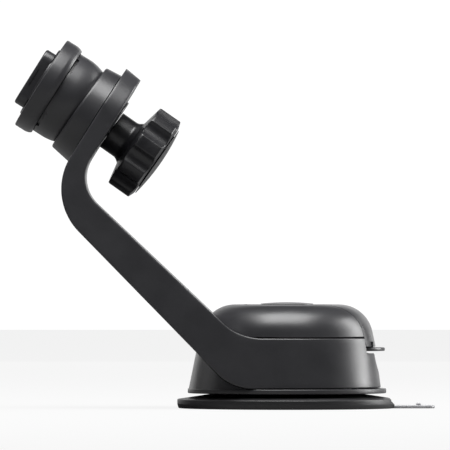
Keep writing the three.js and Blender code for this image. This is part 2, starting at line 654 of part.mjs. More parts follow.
addPart('suction_cup', suctionCup(), COLORS.rubber);
addPart('gel_pad', gelPad(), COLORS.gel);
addPart('base_skirt', baseSkirt(), COLORS.plastic);
addPart('arm_shell', armShell(), COLORS.plastic);
addPart('arm_back_cover', armBackCover(), COLORS.plastic);
addPart('dome_cover', domeCover(), COLORS.plastic);
addPart('cam_plate', camPlate(), COLORS.steel);
addPart('stem_spring', stemSpring(), COLORS.steel);
addPart('core_disc', coreDisc(), COLORS.plastic);
addPart('cup_stem', cupStem(), COLORS.steel);
addPart('lever_pin', leverPin(), COLORS.steel);
addPart('pin_clip', pinClip(), COLORS.steel);
addPart('lever', lever(), COLORS.plastic);
addPart('lever_badge', leverBadge(), COLORS.plastic);
addPart('socket_ring', socketRing(), COLORS.plastic);
addPart('clamp_stud', clampStud(), COLORS.steel);
addPart('pressure_washer', pressureWasher(), COLORS.steel);
addPart('friction_cup', ballLayer(CUP_IN, CUP_OUT, 29, 62, CLAMP), COLORS.gloss);
addPart('ball_insert', ballLayer(INSERT_IN, INSERT_OUT, 35, 66, HEAD), COLORS.gloss);
addPart('head_shell', headShell(), COLORS.plastic);
addPart('lug_head', lugHead(), COLORS.plastic);
addPart('lock_sleeve', lockSleeve(), COLORS.plastic);
addPart('sleeve_spring', sleeveSpring(), COLORS.steel);
addPart('knob_washer', knobWasher(), COLORS.steel);
addPart('knob_grip', knobGrip(), COLORS.gloss);
addPart('knob_insert', knobInsert(), COLORS.brass);
addPart('knob_cap', knobCap(), COLORS.gloss);
SKIRT_SCREWS.forEach((p, i) => {
  addPart(`skirt_screw_${i + 1}`, screw(2.3, 1.2, 1.2, -14, -6.05, skirtScrewFrame(p)), COLORS.steel);
});
COVER_SCREWS.forEach((x, i) => {
  addPart(`cover_screw_${i + 1}`, screw(2.2, 1.2, 1.2, -8.5, -GAP, coverFrame(x)), COLORS.steel);
});
RING_SCREWS.forEach((f, i) => {
  const body = screw(2.4, 1.6, RING_SHANK_R, RING_SCREW_Z0, RING_SCREW_Z1, f);
  addPart(`ring_screw_${i + 1}`, body, COLORS.steel);
});
HEAD_SCREWS.forEach((f, i) => {
  addPart(`head_screw_${i + 1}`, screw(2.3, 1.4, 1.3, 2.8, 16.0, f), COLORS.steel);
});

export default part;
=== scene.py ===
"""Looks of a suction phone mount arm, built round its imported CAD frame.

Shapes are worked out in millimetres, as surfaces on grids, and written to their meshes in metres.
"""

import logging
from dataclasses import dataclass
from enum import Enum
from typing import Callable, Optional, Sequence

import bmesh
import bpy
import numpy as np
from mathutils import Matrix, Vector


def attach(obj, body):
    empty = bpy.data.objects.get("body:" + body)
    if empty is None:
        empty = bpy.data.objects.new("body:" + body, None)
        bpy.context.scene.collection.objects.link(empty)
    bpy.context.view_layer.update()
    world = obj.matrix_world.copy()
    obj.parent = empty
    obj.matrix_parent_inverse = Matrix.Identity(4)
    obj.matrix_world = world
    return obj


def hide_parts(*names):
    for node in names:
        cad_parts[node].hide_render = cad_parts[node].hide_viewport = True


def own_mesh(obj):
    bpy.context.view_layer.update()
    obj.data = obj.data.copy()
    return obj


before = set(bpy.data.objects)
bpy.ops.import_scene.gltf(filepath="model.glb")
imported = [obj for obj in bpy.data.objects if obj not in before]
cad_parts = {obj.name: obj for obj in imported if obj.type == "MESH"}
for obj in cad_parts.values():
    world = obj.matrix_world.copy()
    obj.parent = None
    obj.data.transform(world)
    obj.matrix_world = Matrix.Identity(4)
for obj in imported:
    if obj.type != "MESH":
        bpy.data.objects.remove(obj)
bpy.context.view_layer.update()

logging.basicConfig(level=logging.INFO, format="%(name)s: %(message)s")
log = logging.getLogger("mount")

MM = 0.001
GAP = 0.3
Array = np.ndarray


# ---------------------------------------------------------------------------------------------
# Frames and curves
# ---------------------------------------------------------------------------------------------
BALL = np.array([-86.18, 0.0, 120.92])
HEAD_SLOPE = 32.07
CLAMP_SLOPE = 35.1
RING_SCREW_SET = 1.6
RING_SCREW_DEGREES = (0, 125, 235)
DIAGONALS = (45, 135, 225, 315)


def axis_frame(degrees: float) -> Array:
    """A frame at the ball's centre whose z axis runs to the rear, sloping down.

    Args:
        degrees: how far the axis slopes.

    Returns:
        A 4 by 4 matrix with x upwards, y across and z to the rear.
    """
    a = np.radians(degrees)
    m = np.eye(4)
    m[:3, 0] = (np.sin(a), 0, np.cos(a))
    m[:3, 1] = (0, -1, 0)
    m[:3, 2] = (np.cos(a), 0, -np.sin(a))
    m[:3, 3] = BALL
    return m


WORLD = np.eye(4)
HEAD = axis_frame(HEAD_SLOPE)
CLAMP = axis_frame(CLAMP_SLOPE)


def head_point(s: float, t: float) -> tuple[float, float]:
    """The (x, z) of a point s to the rear of the ball and t above the head's axis."""
    p = HEAD @ np.array([t, 0.0, s, 1.0])
    return float(p[0]), float(p[2])


def filleted(corners: Sequence[tuple[float, float, float]], closed: bool, steps: int = 8) -> Array:
    """A polyline whose corners are arcs.

    At a corner with half angle h between its edges, an arc of radius r touches both edges at
    r / tan(h), and its centre lies r / sin(h) along the bisector. A radius too large for its
    edges is brought down, so that the arc takes under half of the shorter one.

    Args:
        corners: x, y and fillet radius of each corner.
        closed: whether the last corner joins the first.
        steps: arc steps at each fillet.

    Returns:
        An (n, 2) array of points.
    """
    c = np.array([k[:2] for k in corners], float)
    out: list[Array] = []
    n = len(c)
    for i, (_, _, r) in enumerate(corners):
        if r <= 0 or (not closed and i in (0, n - 1)):
            out.append(c[i:i + 1])
            continue
        u, v = c[(i - 1) % n] - c[i], c[(i + 1) % n] - c[i]
        lu, lv = np.linalg.norm(u), np.linalg.norm(v)
        u, v = u / lu, v / lv
        half = np.arccos(np.clip(u @ v, -1, 1)) / 2
        r = min(r, 0.49 * min(lu, lv) * np.tan(half))
        middle = c[i] + (u + v) / np.linalg.norm(u + v) * r / np.sin(half)
        a, b = c[i] + u * r / np.tan(half) - middle, c[i] + v * r / np.tan(half) - middle
        turn = np.arctan2(a[0] * b[1] - a[1] * b[0], a @ b)
        k = np.arctan2(a[1], a[0]) + turn * np.linspace(0, 1, steps + 1)
        out.append(middle + r * np.stack([np.cos(k), np.sin(k)], 1))
    return np.concatenate(out)


def refined(points: Array, step: float) -> Array:
    """The polyline with points added so that no stretch is longer than step."""
    out: list[Array] = []
    for a, b in zip(points[:-1], points[1:]):
        n = max(1, int(np.ceil(np.linalg.norm(b - a) / step)))
        out.append(a + (b - a) * np.linspace(0, 1, n, endpoint=False)[:, None])
    return np.concatenate([*out, points[-1:]])


def resampled(points: Array, count: int) -> Array:
    """The polyline sampled at count points, evenly along its length."""
    d = np.concatenate([[0], np.cumsum(np.linalg.norm(np.diff(points, axis=0), axis=1))])
    t = np.linspace(0, d[-1], count)
    return np.stack([np.interp(t, d, points[:, 0]), np.interp(t, d, points[:, 1])], 1)


def arc(cx: float, cy: float, r: float, start: float, end: float, steps: int) -> Array:
    """Points of an arc of radius r about (cx, cy), from one angle to another in degrees."""
    a = np.radians(np.linspace(start, end, steps + 1))
    return np.stack([cx + r * np.cos(a), cy + r * np.sin(a)], 1)


def soft_min(a: Array, b: Array, k: float) -> Array:
    """The lesser of a and b, with the crease between them rounded over k."""
    h = np.clip(0.5 + 0.5 * (b - a) / k, 0, 1)
    return b + (a - b) * h - k * h * (1 - h)


# ---------------------------------------------------------------------------------------------
# Meshes
# ---------------------------------------------------------------------------------------------
class Joining(Enum):
    """How one solid acts on another."""

    CUT = "DIFFERENCE"
    ADD = "UNION"
    KEEP = "INTERSECT"


def placed(points: Array, matrix: Array) -> Array:
    """The points moved into a frame."""
    return points @ matrix[:3, :3].T + matrix[:3, 3]


def mesh_object(name: str, verts: Array, faces: Array,
                extra: Sequence[Sequence[int]] = ()) -> bpy.types.Object:
    """Makes a closed object of quads, with its doubles merged and its faces turned outwards.

    Args:
        name: the piece's name.
        verts: (n, 3) points in millimetres.
        faces: (m, 4) vertex numbers.
        extra: any larger faces, such as caps.

    Returns:
        The new object, still in millimetres.
    """
    mesh = bpy.data.meshes.new(name)
    mesh.from_pydata(verts.tolist(), [], [*faces.tolist(), *[list(f) for f in extra]])
    work = bmesh.new()
    work.from_mesh(mesh)
    bmesh.ops.remove_doubles(work, verts=work.verts, dist=1e-4)
    bmesh.ops.recalc_face_normals(work, faces=work.faces)
    work.to_mesh(mesh)
    work.free()
    obj = bpy.data.objects.new(name, mesh)
    bpy.context.scene.collection.objects.link(obj)
    return obj


def grid_object(name: str, grid: Array, matrix: Array = WORLD, caps: bool = False) -> bpy.types.Object:
    """A closed object from a grid of points that is closed along its second parameter.

    Args:
        name: the piece's name.
        grid: (rows, columns, 3) points; each row is a closed loop.
        matrix: the frame the points are given in.
        caps: whether the first and last rows are closed by a face.

    Returns:
        The new object.
    """
    rows, cols = grid.shape[:2]
    i, j = np.meshgrid(np.arange(rows - 1), np.arange(cols), indexing="ij")
    k = (j + 1) % cols
    faces = np.stack([i * cols + j, i * cols + k, (i + 1) * cols + k, (i + 1) * cols + j], -1).reshape(-1, 4)
    ends = [list(range(cols)), list(range((rows - 1) * cols, rows * cols))] if caps else []
    return mesh_object(name, placed(grid.reshape(-1, 3), matrix), faces, ends)


def turned(name: str, profile: Array, around: int, matrix: Array = WORLD,
           shape: Optional[Callable[[Array, Array], Array]] = None) -> bpy.types.Object:
    """A profile turned round the frame's z axis: (r cos a, r sin a, z).

    Args:
        name: the piece's name.
        profile: (n, 2) radius and height; it starts and ends on the axis, or closes on itself.
        around: how many steps go round.
        matrix: the frame.
        shape: gives a new radius for each radius and angle, for lobes.

    Returns:
        The new object.
    """
    if profile[0, 0] > 1e-6 or profile[-1, 0] > 1e-6:
        profile = np.concatenate([profile, profile[:1]])
    a = np.linspace(0, 2 * np.pi, around, endpoint=False)[None, :]
    r = np.repeat(profile[:, :1], around, 1)
    if shape is not None:
        r = shape(r, a)
    z = np.repeat(profile[:, 1:], around, 1)
    return grid_object(name, np.stack([r * np.cos(a), r * np.sin(a), z], -1), matrix)


def loft(name: str, outline: Callable[[float], Array], rows: Sequence[tuple[float, float]],
         matrix: Array = WORLD) -> bpy.types.Object:
    """Stacks an outline at several insets and heights, and closes both ends.

    Args:
        name: the piece's name.
        outline: gives the (n, 2) outline for an inset.
        rows: inset and height of each row.
        matrix: the frame.

    Returns:
        The new object.
    """
    layers = [np.column_stack([outline(d), np.full(len(outline(d)), z)]) for d, z in rows]
    return grid_object(name, np.stack(layers), matrix, caps=True)


def edge_rows(z0: float, z1: float, r: float, steps: int = 5) -> list[tuple[float, float]]:
    """Insets and heights of a slab from z0 to z1 whose edges are rounded by r.

    The edge is a quarter circle: inset r - r cos(a), height r - r sin(a) from the face.
    """
    a = np.linspace(np.pi / 2, 0, steps + 1)
    low = [(r - r * np.cos(k), z0 + r - r * np.sin(k)) for k in a]
    high = [(r - r * np.cos(k), z1 - r + r * np.sin(k)) for k in a[::-1]]
    return [(float(d), float(z)) for d, z in [*low, *high]]


def rounded_box(hx: float, hy: float, r: float, cx: float = 0, cy: float = 0) -> Callable[[float], Array]:
    """An outline function of a rounded rectangle: half sizes hx and hy, corner radius r."""
    def outline(inset: float) -> Array:
        x, y, q = hx - inset, hy - inset, max(r - inset, 0.02)
        corners = [(cx - x, cy - y, q), (cx + x, cy - y, q), (cx + x, cy + y, q), (cx - x, cy + y, q)]
        return filleted(corners, True, 6)
    return outline


def block(x: tuple[float, float], y: tuple[float, float], z: tuple[float, float],
          matrix: Array = WORLD) -> bpy.types.Object:
    """A plain cutting block between three pairs of limits."""
    low = np.array([[x[0], y[0], z[0]], [x[1], y[0], z[0]], [x[1], y[1], z[0]], [x[0], y[1], z[0]]])
    high = low + np.array([0, 0, z[1] - z[0]])
    return grid_object("cutter", np.stack([low, high]), matrix, caps=True)


def rod(r: float, z0: float, z1: float, matrix: Array = WORLD, around: int = 96) -> bpy.types.Object:
    """A plain cutting cylinder."""
    return turned("cutter", np.array([[0, z0], [r, z0], [r, z1], [0, z1]], float), around, matrix)


def globe(r: float, centre: Sequence[float], around: int = 128) -> bpy.types.Object:
    """A plain cutting sphere."""
    m = np.eye(4)
    m[:3, 3] = centre
    profile = arc(0, 0, r, -90, 90, around // 2)
    profile[[0, -1], 0] = 0
    return turned("cutter", profile, around, m)


def combine(target: bpy.types.Object, others: Sequence[bpy.types.Object], how: Joining) -> bpy.types.Object:
    """Cuts, adds or keeps solids, one after another, and drops the ones used up.

    Args:
        target: the solid that stays.
        others: the solids that act on it.
        how: what they do.

    Returns:
        The target, with its new mesh.
    """
    for other in others:
        step = target.modifiers.new("step", "BOOLEAN")
        step.operation = how.value
        step.solver = "EXACT"
        step.object = other
        made = bpy.data.meshes.new_from_object(target.evaluated_get(bpy.context.evaluated_depsgraph_get()))
        target.modifiers.clear()
        target.data = made
        bpy.data.objects.remove(other)
    return target


def split_at(whole: bpy.types.Object, r: float, slit: float) -> bpy.types.Object:
    """Parts a turned solid at a radius: the outer part stays, and the inner part is new.

    Args:
        whole: the solid, which keeps what lies beyond r.
        r: the radius of the cut, about the world's z axis.
        slit: the gap between the two parts.

    Returns:
        The inner part.
    """
    inner = whole.copy()
    inner.data = whole.data.copy()
    bpy.context.scene.collection.objects.link(inner)
    combine(inner, [rod(r - slit, -20, 40, around=192)], Joining.KEEP)
    combine(whole, [rod(r, -20, 40, around=192)], Joining.CUT)
    return inner


def at(x: float, y: float, z: float, matrix: Array = WORLD, flip: bool = False) -> Array:
    """A frame moved along its own axes, and turned over about x if asked."""
    m = np.eye(4)
    m[:3, 3] = (x, y, z)
    if flip:
        m[1, 1] = m[2, 2] = -1
    return matrix @ m


# ---------------------------------------------------------------------------------------------
# Finishes
# ---------------------------------------------------------------------------------------------
def linear(code: str) -> tuple[float, float, float, float]:
    """An sRGB hex colour as linear red, green, blue and alpha."""
    c = np.array([int(code[i:i + 2], 16) for i in (1, 3, 5)]) / 255
    c = np.where(c <= 0.04045, c / 12.92, ((c + 0.055) / 1.055) ** 2.4)
    return float(c[0]), float(c[1]), float(c[2]), 1.0


def add_node(tree: bpy.types.NodeTree, kind: str, settings: Optional[dict] = None,
             inputs: Optional[dict] = None, links: Optional[dict] = None) -> bpy.types.Node:
    """Adds a node.

    Args:
        tree: the node tree.
        kind: the node's type name.
        settings: its properties.
        inputs: socket values, by name or number.
        links: the output socket that feeds each input, by name or number.

    Returns:
        The node.
    """
    node = tree.nodes.new(kind)
    for key, value in (settings or {}).items():
        setattr(node, key, value)
    for key, value in (inputs or {}).items():
        node.inputs[key].default_value = value
    for key, socket in (links or {}).items():
        tree.links.new(socket, node.inputs[key])
    return node


@dataclass(frozen=True)
class Finish:
    """A moulded or machined finish: its colour, gloss, grain and wear.

    The grain is a noise whose cells are grain_mm across and grain_depth_mm deep; the cloud is a
    slow change of gloss and tone, cloud_mm across; the wear lightens outer corners.
    """

    name: str
    colour: str
    tone: str
    worn: str
    roughness: float
    roughness_swing: float
    ior: float
    metallic: float
    grain_mm: float
    grain_depth_mm: float
    cloud_mm: float
    wear: float
    transmission: float = 0.0
    stretch: tuple[float, float, float] = (1.0, 1.0, 1.0)

    def material(self) -> bpy.types.Material:
        """The node material of this finish, made once.

        Returns:
            The material.
        """
        done = bpy.data.materials.get(self.name)
        if done:
            return done
        mat = bpy.data.materials.new(self.name)
        mat.use_nodes = True
        tree = mat.node_tree
        tree.nodes.clear()
        place = add_node(tree, "ShaderNodeTexCoord").outputs["Object"]
        scaled = add_node(tree, "ShaderNodeMapping", inputs={"Scale": self.stretch},
                          links={"Vector": place}).outputs[0]
        grain = add_node(tree, "ShaderNodeTexNoise", inputs={
            "Scale": 1 / (self.grain_mm * MM), "Detail": 2.0, "Roughness": 0.6}, links={"Vector": scaled})
        cloud = add_node(tree, "ShaderNodeTexNoise", inputs={
            "Scale": 1 / (self.cloud_mm * MM), "Detail": 4.0, "Roughness": 0.55}, links={"Vector": place})
        edge = add_node(tree, "ShaderNodeNewGeometry").outputs["Pointiness"]
        rubbed = add_node(tree, "ShaderNodeMapRange", inputs={
            "From Min": 0.53, "From Max": 0.62, "To Min": 0.0, "To Max": self.wear}, links={"Value": edge})
        broken = add_node(tree, "ShaderNodeMath", {"operation": "MULTIPLY"},
                          links={0: rubbed.outputs[0], 1: cloud.outputs["Fac"]})
        tone = add_node(tree, "ShaderNodeMix", {"data_type": "RGBA"}, inputs={
            6: linear(self.colour), 7: linear(self.tone)}, links={0: cloud.outputs["Fac"]})
        colour = add_node(tree, "ShaderNodeMix", {"data_type": "RGBA"}, inputs={7: linear(self.worn)},
                          links={0: broken.outputs[0], 6: tone.outputs[2]})
        low, high = self.roughness - self.roughness_swing, self.roughness + self.roughness_swing
        gloss = add_node(tree, "ShaderNodeMapRange", inputs={
            "From Min": 0.3, "From Max": 0.7, "To Min": low, "To Max": high},
            links={"Value": cloud.outputs["Fac"]})
        bump = add_node(tree, "ShaderNodeBump", inputs={
            "Strength": 0.6, "Distance": self.grain_depth_mm * MM}, links={"Height": grain.outputs["Fac"]})
        shader = add_node(tree, "ShaderNodeBsdfPrincipled", inputs={
            "Metallic": self.metallic, "IOR": self.ior, "Transmission Weight": self.transmission},
            links={"Base Color": colour.outputs[2], "Roughness": gloss.outputs[0],
                   "Normal": bump.outputs[0]})
        add_node(tree, "ShaderNodeOutputMaterial", links={"Surface": shader.outputs[0]})
        return mat


# Moulded ABS, spark-eroded tool: an even dark grey with a fine satin grain and soft highlights.
ABS = Finish("abs_satin_moulded", "#2a2a2c", "#2e2e31", "#5a5a5e",
             roughness=0.36, roughness_swing=0.05, ior=1.53, metallic=0.0,
             grain_mm=0.45, grain_depth_mm=0.012, cloud_mm=14, wear=0.12)
# The same resin from a finer tool, so the highlights are tighter.
ABS_FINE = Finish("abs_fine_moulded", "#28282a", "#2c2c2f", "#58585c",
                  roughness=0.32, roughness_swing=0.05, ior=1.53, metallic=0.0,
                  grain_mm=0.35, grain_depth_mm=0.008, cloud_mm=12, wear=0.1)
# Glass-filled nylon, moulded: nearly black, with sharper highlights on its facets.
NYLON = Finish("nylon_moulded", "#18181a", "#1d1d20", "#303034",
               roughness=0.34, roughness_swing=0.06, ior=1.53, metallic=0.0,
               grain_mm=0.5, grain_depth_mm=0.010, cloud_mm=9, wear=0.08)
# Moulded PVC of the cup: black and slightly oily, with broad weak highlights.
CUP_RUBBER = Finish("pvc_cup_moulded", "#161617", "#1c1c1e", "#2c2c2e",
                    roughness=0.42, roughness_swing=0.07, ior=1.52, metallic=0.0,
                    grain_mm=0.8, grain_depth_mm=0.015, cloud_mm=16, wear=0.2)
# Polyurethane gel: cloudy, grey and tacky, so it is smooth and lets some light in.
GEL = Finish("pu_gel_cast", "#a6a6a9", "#b4b4b7", "#c4c4c6",
             roughness=0.30, roughness_swing=0.08, ior=1.49, metallic=0.0,
             grain_mm=1.5, grain_depth_mm=0.010, cloud_mm=6, wear=0.1, transmission=0.25)
# Acetal liners of the ball: off-white and waxy.
ACETAL = Finish("acetal_turned", "#c9c7c0", "#d2d0c9", "#e0deda",
                roughness=0.38, roughness_swing=0.05, ior=1.48, metallic=0.0,
                grain_mm=0.4, grain_depth_mm=0.004, cloud_mm=8, wear=0.1, stretch=(1, 1, 8))
# Zinc-plated steel: bright, with fine turning lines.
STEEL = Finish("steel_zinc_plated", "#9d9fa3", "#aeb0b4", "#c6c8cb",
               roughness=0.30, roughness_swing=0.07, ior=1.45, metallic=1.0,
               grain_mm=0.3, grain_depth_mm=0.004, cloud_mm=5, wear=0.3, stretch=(1, 1, 6))
# Black-oxide steel of the visible screws.
OXIDE = Finish("steel_black_oxide", "#3a3a3d", "#46464a", "#85868a",
               roughness=0.40, roughness_swing=0.08, ior=1.45, metallic=1.0,
               grain_mm=0.3, grain_depth_mm=0.004, cloud_mm=4, wear=0.6)
# Turned brass insert.
BRASS = Finish("brass_turned", "#b08d4a", "#bd9a55", "#d6b673",
               roughness=0.28, roughness_swing=0.06, ior=1.45, metallic=1.0,
               grain_mm=0.3, grain_depth_mm=0.004, cloud_mm=5, wear=0.3, stretch=(1, 1, 6))


def finish_piece(obj: bpy.types.Object, name: str, finish: Finish, body: str, nodes: Sequence[str],
                 crease: float = 32.0) -> bpy.types.Object:
    """Turns a solid into a finished piece of the object.

    Args:
        obj: the solid, in millimetres.
        name: the piece's name.
        finish: what it is made of.
        body: the body that carries it.
        nodes: the CAD nodes that it stands for.
        crease: the angle, in degrees, above which an edge stays sharp.

    Returns:
        The same object, in metres.
    """
    mesh = obj.data
    co = np.empty(len(mesh.vertices) * 3, np.float32)
    mesh.vertices.foreach_get("co", co)
    mesh.vertices.foreach_set("co", co * np.float32(MM))
    mesh.update()
    mesh.shade_smooth()
    mesh.set_sharp_from_angle(angle=np.radians(crease))
    mesh.materials.clear()
    mesh.materials.append(finish.material())
    obj.name = name
    mesh.name = name
    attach(obj, body)
    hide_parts(*nodes)
    log.info("%s: %d faces on %s", name, len(mesh.polygons), body)
    return obj


# ---------------------------------------------------------------------------------------------
# Foot, arm and skirt
# ---------------------------------------------------------------------------------------------
@dataclass
class Foot:
    """The arm in one piece with its round foot, and the back cover."""

    radius: float = 36.6
    z0: float = 8.0
    z1: float = 27.46
    slope: float = 0.125
    edge: float = 0.55
    plate_front: float = 14.0
    plate: float = 7.0
    plate_top: float = 22.2
    boss_r: float = 12.5
    boss_face: float = 21.33
    ball_seat: float = 17.95
    stud_hole: float = 3.3
    stem_hole: float = 3.3
    deck_low: float = 20.6
    deck_high: float = 22.6
    scoop_r: float = 11.9
    screw_rise: float = 7.5
    end_past: float = 0.15
    fillet_steps: int = 24
    quarter_steps: int = 48
    rows: int = 150
    edge_points: int = 6
    side_points: int = 10
    across_points: int = 12

    def half(self, z: Array) -> Array:
        """Half the width at height z: radius - slope (z - z0)."""
        return self.radius - self.slope * (z - self.z0)

    def lower_edge(self) -> Array:
        """The arm's lower edge, from under the foot's centre to the top of the head plate."""
        return filleted([(0, self.z0, 0), (-self.radius + 15.1, self.z0, 19.5),
                         (*head_point(self.plate_front, -37.0), 23.7),
                         (*head_point(self.plate_front, self.plate_top), 0)], False, self.fillet_steps)

    def upper_edge(self) -> Array:
        """The arm's upper edge, over the same run."""
        return filleted([(0, self.z1, 0), (-self.radius + 17.75, self.z1, 25.0),
                         (*head_point(self.plate_front + self.plate, -26.2), 14.0),
                         (*head_point(self.plate_front + self.plate, self.plate_top - 1), 0)],
                        False, self.fillet_steps)

    def outline(self, grow: float) -> Array:
        """The whole side outline, grown by moving each point along its normal."""
        line = np.concatenate([[[60.0, self.z0]], self.lower_edge(),
                               self.upper_edge()[::-1], [[60.0, self.z1]]])
        step = np.roll(line, -1, 0) - np.roll(line, 1, 0)
        step /= np.linalg.norm(step, axis=1)[:, None]
        side = np.stack([step[:, 1], -step[:, 0]], 1)
        area = np.sum(line[:, 0] * np.roll(line[:, 1], -1) - np.roll(line[:, 0], -1) * line[:, 1])
        return line + side * grow * np.sign(area)

    def cutter(self, grow: float) -> bpy.types.Object:
        """The side outline carried straight across, as a cutting solid."""
        p = self.outline(grow)
        layers = [np.column_stack([p[:, 0], np.full(len(p), y), p[:, 1]]) for y in (-60.0, 60.0)]
        return grid_object("cutter", np.stack(layers), caps=True)

    def section(self, low: Array, high: Array, width: Callable[[Array, Array], Array]) -> Array:
        """One closed loop across the arm, from its lower edge to its upper edge and back.

        The loop is a rectangle, low to high by the width at each height, whose corners are
        quarter circles of the edge radius.

        Args:
            low: (x, z) on the lower edge.
            high: (x, z) on the upper edge.
            width: gives half the width at x and z.

        Returns:
            (n, 3) points.
        """
        length = np.linalg.norm(high - low)
        mid = (low + high) / 2
        w = float(width(mid[0], mid[1]))
        e = min(self.edge, length * 0.3, w * 0.6)
        a = np.radians(np.linspace(0, 90, self.edge_points))
        rise = np.concatenate([e - e * np.cos(a), np.linspace(e, length - e, self.side_points + 2)[1:-1],
                               (length - e + e * np.sin(a))])
        inset = np.concatenate([e - e * np.sin(a), np.zeros(self.side_points), e - e * np.cos(a)])
        along = low + (high - low) * (rise / max(length, 1e-9))[:, None]
        y = np.maximum(width(along[:, 0], along[:, 1]) - inset, 0)
        side = np.column_stack([along[:, 0], y, along[:, 1]])
        mirror = (side * (1, -1, 1))[::-1]
        across = np.linspace(0, 1, self.across_points + 2)[1:-1, None]
        top = side[-1] + (mirror[0] - side[-1]) * across
        bottom = mirror[-1] + (side[0] - mirror[-1]) * across
        return np.concatenate([side, top, mirror, bottom])

    def round_section(self, azimuth: float) -> Array:
        """The loop across the foot at an angle from +x: (r cos a, r sin a share, z).

        The share is 1 on one side and -1 on the other, and runs between them on the top and
        bottom, where r is the radius of the flat's rim.
        """
        flat = self.section(np.array([0, self.z0]), np.array([0, self.z1]), lambda x, z: self.half(z))
        side, run = 2 * self.edge_points + self.side_points, self.across_points
        flats = slice(side, side + run), slice(2 * side + run, 2 * (side + run))
        r, share = np.abs(flat[:, 1]), np.sign(flat[:, 1])
        for points, rim in zip(flats, (flat[side - 1, 1], flat[0, 1])):
            share[points] = flat[points, 1] / rim
            r[points] = rim
        return np.column_stack([r * np.cos(azimuth), r * np.sin(azimuth) * share, flat[:, 2]])

    def body(self) -> bpy.types.Object:
        """The solid outer form: foot sections from +x round to the side, then arm sections.

        Returns:
            The closed solid.
        """
        rings = [self.round_section(a) for a in np.radians(np.linspace(0, 90, self.quarter_steps + 1))]
        low, high = self.matched(self.lower_edge()), self.matched(self.upper_edge())
        centre = np.array([BALL[0], BALL[2]])
        up = np.array([HEAD[0, 0], HEAD[2, 0]])
        end_half = self.half(head_point(self.plate_front + self.plate / 2, 0)[1])

        def width(x: Array, z: Array) -> Array:
            """Side faces, and half an ellipse above the head's axis, which ends just past the plate."""
            t = (np.asarray(x) - centre[0]) * up[0] + (np.asarray(z) - centre[1]) * up[1]
            reach = np.maximum(t, 0) / (self.plate_top + self.end_past)
            ellipse = end_half * np.sqrt(np.clip(1 - reach ** 2, 0, 1))
            side = self.half(np.asarray(z))
            return np.where(t > 0, np.minimum(side, ellipse), side)

        rings += [self.section(a, b, width) for a, b in zip(low[1:], high[1:])]
        return grid_object("arm", np.stack(rings), caps=True)

    def matched(self, line: Array) -> Array:
        """The edge sampled so that both edges reach the foot, bend and end together.

        Its four stretches run through the first fillet, along the straight, round the second
        fillet and up the plate, and each gets the same share of the rows on both edges.
        """
        foot = self.fillet_steps + 1
        marks = (0, foot, foot + 1, 2 * foot, len(line) - 1)
        shares = (0.22, 0.30, 0.20, 0.28)
        parts = [resampled(line[a:b + 1], max(2, int(self.rows * share)) + 1)
                 for a, b, share in zip(marks[:-1], marks[1:], shares)]
        return np.concatenate([parts[0], *[p[1:] for p in parts[1:]]])

    def build(self) -> None:
        """Carves the arm for the dome, the lever, the ball and the screws."""
        arm = self.body()
        boss = turned("boss", filleted([(0, 19, 0), (self.boss_r, 19, 0), (self.boss_r, self.boss_face, 0.4),
                                        (0, self.boss_face, 0)], False), 96, CLAMP)
        combine(arm, [boss], Joining.ADD)
        dome = Dome()
        room = np.concatenate([dome.meridian(-GAP, self.z1 - 0.1), [[0, self.z1 - 0.1]]])
        inner = self.radius - 7.1
        sweep = dome.sweep()
        w = dome.lever_half
        cutters = [globe(self.ball_seat, BALL), rod(self.stud_hole, 10, 40, CLAMP, 48),
                   turned("cutter", room, 192), rod(inner + 1.5, self.deck_high, self.z1 + 1, around=192),
                   rod(inner, 5, self.deck_low, around=192),
                   block((-sweep - 1, -6.3), (-w - 1, w + 1), (8.1, self.z1)),
                   block((inner - 4, 60), (-w - 0.6, w + 0.6), (21.3, 40)),
                   globe(self.scoop_r, (self.radius + 5.4, 0, 24)), rod(self.stem_hole, 10, 30, around=48)]
        combine(arm, cutters, Joining.CUT)
        upper, length = self.upper_frame()
        a, b = 0.31 * length, 0.80 * length
        mid, hx = (a + b) / 2, (b - a) / 2
        seat = loft("cutter", rounded_box(hx + GAP, 17.3, 1.2, mid, 0), [(0, -2.8), (0, 20)], upper)
        well = loft("cutter", rounded_box(hx - 7, 14.0, 2.0, mid, 0), [(0, -8.6), (0, 20)], upper)
        holes = [rod(2.75, 12.0, 22.0, f, 32) for f in ring_screw_frames(self.screw_rise)]
        combine(arm, [seat, well, *holes], Joining.CUT)
        finish_piece(arm, "arm_body", ABS, "base", ["arm_shell"])
        cover = loft("cover", rounded_box(hx, 17.0, 1.0, mid, 0), edge_rows(-2.5, -0.05, 0.25), upper)
        ports = [rod(2.45, -1.9, 5, at(x, 0, 0, upper), 32) for x in (a + 3.6, b - 3.6)]
        combine(cover, ports, Joining.CUT)
        finish_piece(cover, "back_cover", ABS_FINE, "base", ["arm_back_cover"])

    def upper_frame(self) -> tuple[Array, float]:
        """The frame on the sloping upper face, with z out of it, and the face's length."""
        low = np.array([-self.radius + 17.75, 0, self.z1])
        x, z = head_point(self.plate_front + self.plate, -26.2)
        run = np.array([x, 0, z]) - low
        length = float(np.linalg.norm(run))
        run /= length
        out = np.array([run[2], 0, -run[0]])
        m = np.eye(4)
        m[:3, 0], m[:3, 1], m[:3, 2], m[:3, 3] = run, np.cross(out, run), out, low
        return m, length


def ring_screw_frames(rise: float) -> list[Array]:
    """The frames of the three screws that hold the socket ring, moved along the head's axis."""
    r = Head.ball_r - RING_SCREW_SET
    return [at(r * np.cos(a), r * np.sin(a), rise, HEAD) for a in np.radians(RING_SCREW_DEGREES)]


